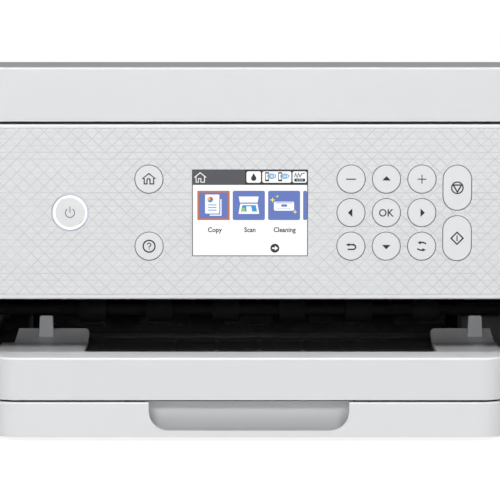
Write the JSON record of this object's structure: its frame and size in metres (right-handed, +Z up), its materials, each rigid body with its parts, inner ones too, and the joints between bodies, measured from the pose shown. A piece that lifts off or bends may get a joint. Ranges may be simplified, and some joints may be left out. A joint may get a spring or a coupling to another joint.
{
  "type": "inkjet printer",
  "caption": "Compact white all-in-one inkjet printer with a flatbed scanner lid, a tilting control panel with a colour display, a pull-out output tray and a paper cassette.",
  "frame": {"origin": "on the table, under the middle of the body", "axes": "+X to the user's right, +Y to the back, +Z up; the control panel faces -Y"},
  "size_m": [0.375, 0.347, 0.187],
  "materials": {
    "white_casing": "fine satin moulded surface",
    "patterned_skin": "satin white film with a fine grey line pattern",
    "key_cap": "satin",
    "light_ring": "translucent white light guide",
    "display": "colour display under a glossy window",
    "circuit_board": "green solder mask",
    "black_plastic": "fine texture",
    "grey_plastic": "fine texture",
    "sheet_steel": "black coated",
    "ground_steel": "ground and polished",
    "motor_can": "plated",
    "brass": "turned",
    "belt_rubber": "toothed",
    "roller_rubber": "ground",
    "foot_rubber": "moulded",
    "acetal": "moulded",
    "platen_glass": "clear",
    "white_foam": "smooth faced foam",
    "screw_steel": "black zinc",
    "ink_black_label": "moulded",
    "ink_cyan_label": "moulded",
    "ink_magenta_label": "moulded",
    "ink_yellow_label": "moulded"
  },
  "bodies": {
    "base": {"base_pan": "grey_plastic", "feet": "foot_rubber", "side_cover_left": "white_casing", "side_cover_right": "white_casing", "rear_panel": "white_casing", "inner_deck": "grey_plastic", "casing_screws": "screw_steel", "exit_housing": "black_plastic", "carriage_frame": "sheet_steel", "guide_shaft": "ground_steel", "platen": "black_plastic", "feed_motor": "motor_can", "carriage_motor": "motor_can", "timing_belt": "belt_rubber", "cap_station": "grey_plastic", "main_board": "circuit_board", "power_supply": "black_plastic"},
    "scanner_unit": {"scanner_housing": "white_casing", "scanner_glass": "platen_glass"},
    "lid": {"document_cover": "white_casing", "document_mat": "white_foam"},
    "scan_carriage": {"scan_head": "black_plastic"},
    "control_panel": {"panel_housing": "white_casing", "panel_faceplate": "patterned_skin", "display_module": "display", "power_light_ring": "light_ring", "panel_board": "circuit_board"},
    "inner_stage": {"inner_tray": "black_plastic"},
    "outer_stage": {"output_tray": "white_casing"},
    "stop_flap": {"paper_stop": "black_plastic"},
    "cassette": {"paper_cassette": "white_casing"},
    "guide_left": {"edge_guide_left": "grey_plastic"},
    "guide_right": {"edge_guide_right": "grey_plastic"},
    "guide_gear": {"guide_pinion": "acetal"},
    "print_carriage": {"carriage": "black_plastic"},
    "belt_drive_pulley": {"drive_pulley": "brass"},
    "belt_idler_pulley": {"idler_pulley": "acetal"},
    "feed_shaft": {"feed_roller": "roller_rubber"},
    "feed_drive_pinion": {"feed_pinion": "brass"},
    "exit_shaft": {"exit_roller": "roller_rubber"},
    "star_wheel_shaft": {"star_wheels": "ground_steel"},
    "duplex_cover": {"rear_duplex_cover": "grey_plastic"},
    "button_back": {"key_back": "key_cap"},
    "button_down": {"key_down": "key_cap"},
    "button_help": {"key_help": "key_cap"},
    "button_home": {"key_home": "key_cap"},
    "button_left": {"key_left": "key_cap"},
    "button_minus": {"key_minus": "key_cap"},
    "button_ok": {"key_ok": "key_cap"},
    "button_plus": {"key_plus": "key_cap"},
    "button_power": {"key_power": "key_cap"},
    "button_repeat": {"key_repeat": "key_cap"},
    "button_right": {"key_right": "key_cap"},
    "button_start": {"key_start": "key_cap"},
    "button_stop": {"key_stop": "key_cap"},
    "button_up": {"key_up": "key_cap"},
    "tank_black": {"ink_black": "ink_black_label"},
    "tank_cyan": {"ink_cyan": "ink_cyan_label"},
    "tank_magenta": {"ink_magenta": "ink_magenta_label"},
    "tank_yellow": {"ink_yellow": "ink_yellow_label"}
  },
  "joints": [
    {"name": "scanner_lift", "type": "hinge", "parent": "base", "child": "scanner_unit", "pos_m": [0, 0.168, 0.131], "axis": [-1, 0, 0], "range_deg": [0, 35]},
    {"name": "lid_hinge", "type": "hinge", "parent": "scanner_unit", "child": "lid", "pos_m": [0, 0.158, 0.1685], "axis": [-1, 0, 0], "range_deg": [0, 80]},
    {"name": "scan_travel", "type": "slide", "parent": "scanner_unit", "child": "scan_carriage", "axis": [1, 0, 0], "range_m": [0, 0.272]},
    {"name": "panel_tilt", "type": "hinge", "parent": "base", "child": "control_panel", "pos_m": [0, -0.158, 0.1536], "axis": [-1, 0, 0], "range_deg": [0, 45]},
    {"name": "tray_first_stage", "type": "slide", "parent": "base", "child": "inner_stage", "axis": [0, -1, 0], "range_m": [0, 0.06]},
    {"name": "tray_second_stage", "type": "slide", "parent": "inner_stage", "child": "outer_stage", "axis": [0, -1, 0], "range_m": [0, 0.1]},
    {"name": "stop_flip", "type": "hinge", "parent": "outer_stage", "child": "stop_flap", "pos_m": [0.0055, -0.1445, 0.0386], "axis": [1, 0, 0], "range_deg": [0, 75]},
    {"name": "cassette_slide", "type": "slide", "parent": "base", "child": "cassette", "axis": [0, -1, 0], "range_m": [0, 0.25]},
    {"name": "guide_left_slide", "type": "slide", "parent": "cassette", "child": "guide_left", "axis": [1, 0, 0], "range_m": [0, 0.05]},
    {"name": "guide_right_slide", "type": "slide", "parent": "cassette", "child": "guide_right", "axis": [-1, 0, 0], "range_m": [0, 0.05]},
    {"name": "guide_gear_spin", "type": "hinge", "parent": "cassette", "child": "guide_gear", "pos_m": [0.0055, -0.02, 0.008], "axis": [0, 0, -1], "range_deg": [0, 360]},
    {"name": "carriage_travel", "type": "slide", "parent": "base", "child": "print_carriage", "axis": [-1, 0, 0], "range_m": [0, 0.236]},
    {"name": "drive_pulley_spin", "type": "hinge", "parent": "base", "child": "belt_drive_pulley", "pos_m": [0.16, 0.0515, 0.1], "axis": [0, 1, 0], "range_deg": [-10, 2710]},
    {"name": "idler_pulley_spin", "type": "hinge", "parent": "base", "child": "belt_idler_pulley", "pos_m": [-0.16, 0.0515, 0.1], "axis": [0, 1, 0], "range_deg": [-10, 2710]},
    {"name": "ink_black_lift", "type": "slide", "parent": "print_carriage", "child": "tank_black", "axis": [0, 0, 1], "range_m": [0, 0.018]},
    {"name": "ink_cyan_lift", "type": "slide", "parent": "print_carriage", "child": "tank_cyan", "axis": [0, 0, 1], "range_m": [0, 0.018]},
    {"name": "ink_magenta_lift", "type": "slide", "parent": "print_carriage", "child": "tank_magenta", "axis": [0, 0, 1], "range_m": [0, 0.018]},
    {"name": "ink_yellow_lift", "type": "slide", "parent": "print_carriage", "child": "tank_yellow", "axis": [0, 0, 1], "range_m": [0, 0.018]},
    {"name": "feed_spin", "type": "hinge", "parent": "base", "child": "feed_shaft", "pos_m": [0, 0.028, 0.051], "axis": [1, 0, 0], "continuous": true},
    {"name": "feed_pinion_spin", "type": "hinge", "parent": "base", "child": "feed_drive_pinion", "pos_m": [-0.174, 0.04463, 0.0414], "axis": [1, 0, 0], "continuous": true},
    {"name": "exit_spin", "type": "hinge", "parent": "base", "child": "exit_shaft", "pos_m": [0, -0.058, 0.055], "axis": [1, 0, 0], "continuous": true},
    {"name": "star_wheel_spin", "type": "hinge", "parent": "base", "child": "star_wheel_shaft", "pos_m": [0, -0.058, 0.0654], "axis": [1, 0, 0], "continuous": true},
    {"name": "duplex_cover_pull", "type": "slide", "parent": "base", "child": "duplex_cover", "axis": [0, 1, 0], "range_m": [0, 0.05]},
    {"name": "key_back_press", "type": "slide", "parent": "control_panel", "child": "button_back", "axis": [0, 1, 0], "range_m": [0, 0.0008], "stiffness_N_per_m": 300, "springref_m": -0.0005},
    {"name": "key_down_press", "type": "slide", "parent": "control_panel", "child": "button_down", "axis": [0, 1, 0], "range_m": [0, 0.0008], "stiffness_N_per_m": 300, "springref_m": -0.0005},
    {"name": "key_help_press", "type": "slide", "parent": "control_panel", "child": "button_help", "axis": [0, 1, 0], "range_m": [0, 0.0008], "stiffness_N_per_m": 300, "springref_m": -0.0005},
    {"name": "key_home_press", "type": "slide", "parent": "control_panel", "child": "button_home", "axis": [0, 1, 0], "range_m": [0, 0.0008], "stiffness_N_per_m": 300, "springref_m": -0.0005},
    {"name": "key_left_press", "type": "slide", "parent": "control_panel", "child": "button_left", "axis": [0, 1, 0], "range_m": [0, 0.0008], "stiffness_N_per_m": 300, "springref_m": -0.0005},
    {"name": "key_minus_press", "type": "slide", "parent": "control_panel", "child": "button_minus", "axis": [0, 1, 0], "range_m": [0, 0.0008], "stiffness_N_per_m": 300, "springref_m": -0.0005},
    {"name": "key_ok_press", "type": "slide", "parent": "control_panel", "child": "button_ok", "axis": [0, 1, 0], "range_m": [0, 0.0008], "stiffness_N_per_m": 300, "springref_m": -0.0005},
    {"name": "key_plus_press", "type": "slide", "parent": "control_panel", "child": "button_plus", "axis": [0, 1, 0], "range_m": [0, 0.0008], "stiffness_N_per_m": 300, "springref_m": -0.0005},
    {"name": "key_power_press", "type": "slide", "parent": "control_panel", "child": "button_power", "axis": [0, 1, 0], "range_m": [0, 0.0008], "stiffness_N_per_m": 300, "springref_m": -0.0005},
    {"name": "key_repeat_press", "type": "slide", "parent": "control_panel", "child": "button_repeat", "axis": [0, 1, 0], "range_m": [0, 0.0008], "stiffness_N_per_m": 300, "springref_m": -0.0005},
    {"name": "key_right_press", "type": "slide", "parent": "control_panel", "child": "button_right", "axis": [0, 1, 0], "range_m": [0, 0.0008], "stiffness_N_per_m": 300, "springref_m": -0.0005},
    {"name": "key_start_press", "type": "slide", "parent": "control_panel", "child": "button_start", "axis": [0, 1, 0], "range_m": [0, 0.0008], "stiffness_N_per_m": 300, "springref_m": -0.0005},
    {"name": "key_stop_press", "type": "slide", "parent": "control_panel", "child": "button_stop", "axis": [0, 1, 0], "range_m": [0, 0.0008], "stiffness_N_per_m": 300, "springref_m": -0.0005},
    {"name": "key_up_press", "type": "slide", "parent": "control_panel", "child": "button_up", "axis": [0, 1, 0], "range_m": [0, 0.0008], "stiffness_N_per_m": 300, "springref_m": -0.0005}
  ],
  "couplings": [
    {"joint": "guide_right_slide", "follows": "guide_left_slide", "ratio": 1},
    {"joint": "guide_gear_spin", "follows": "guide_left_slide", "rad_per_m": 125},
    {"joint": "drive_pulley_spin", "follows": "carriage_travel", "rad_per_m": 200},
    {"joint": "idler_pulley_spin", "follows": "carriage_travel", "rad_per_m": 200},
    {"joint": "feed_pinion_spin", "follows": "feed_spin", "ratio": -3},
    {"joint": "exit_spin", "follows": "feed_spin", "ratio": 1.1667},
    {"joint": "star_wheel_spin", "follows": "feed_spin", "ratio": -1.75}
  ]
}
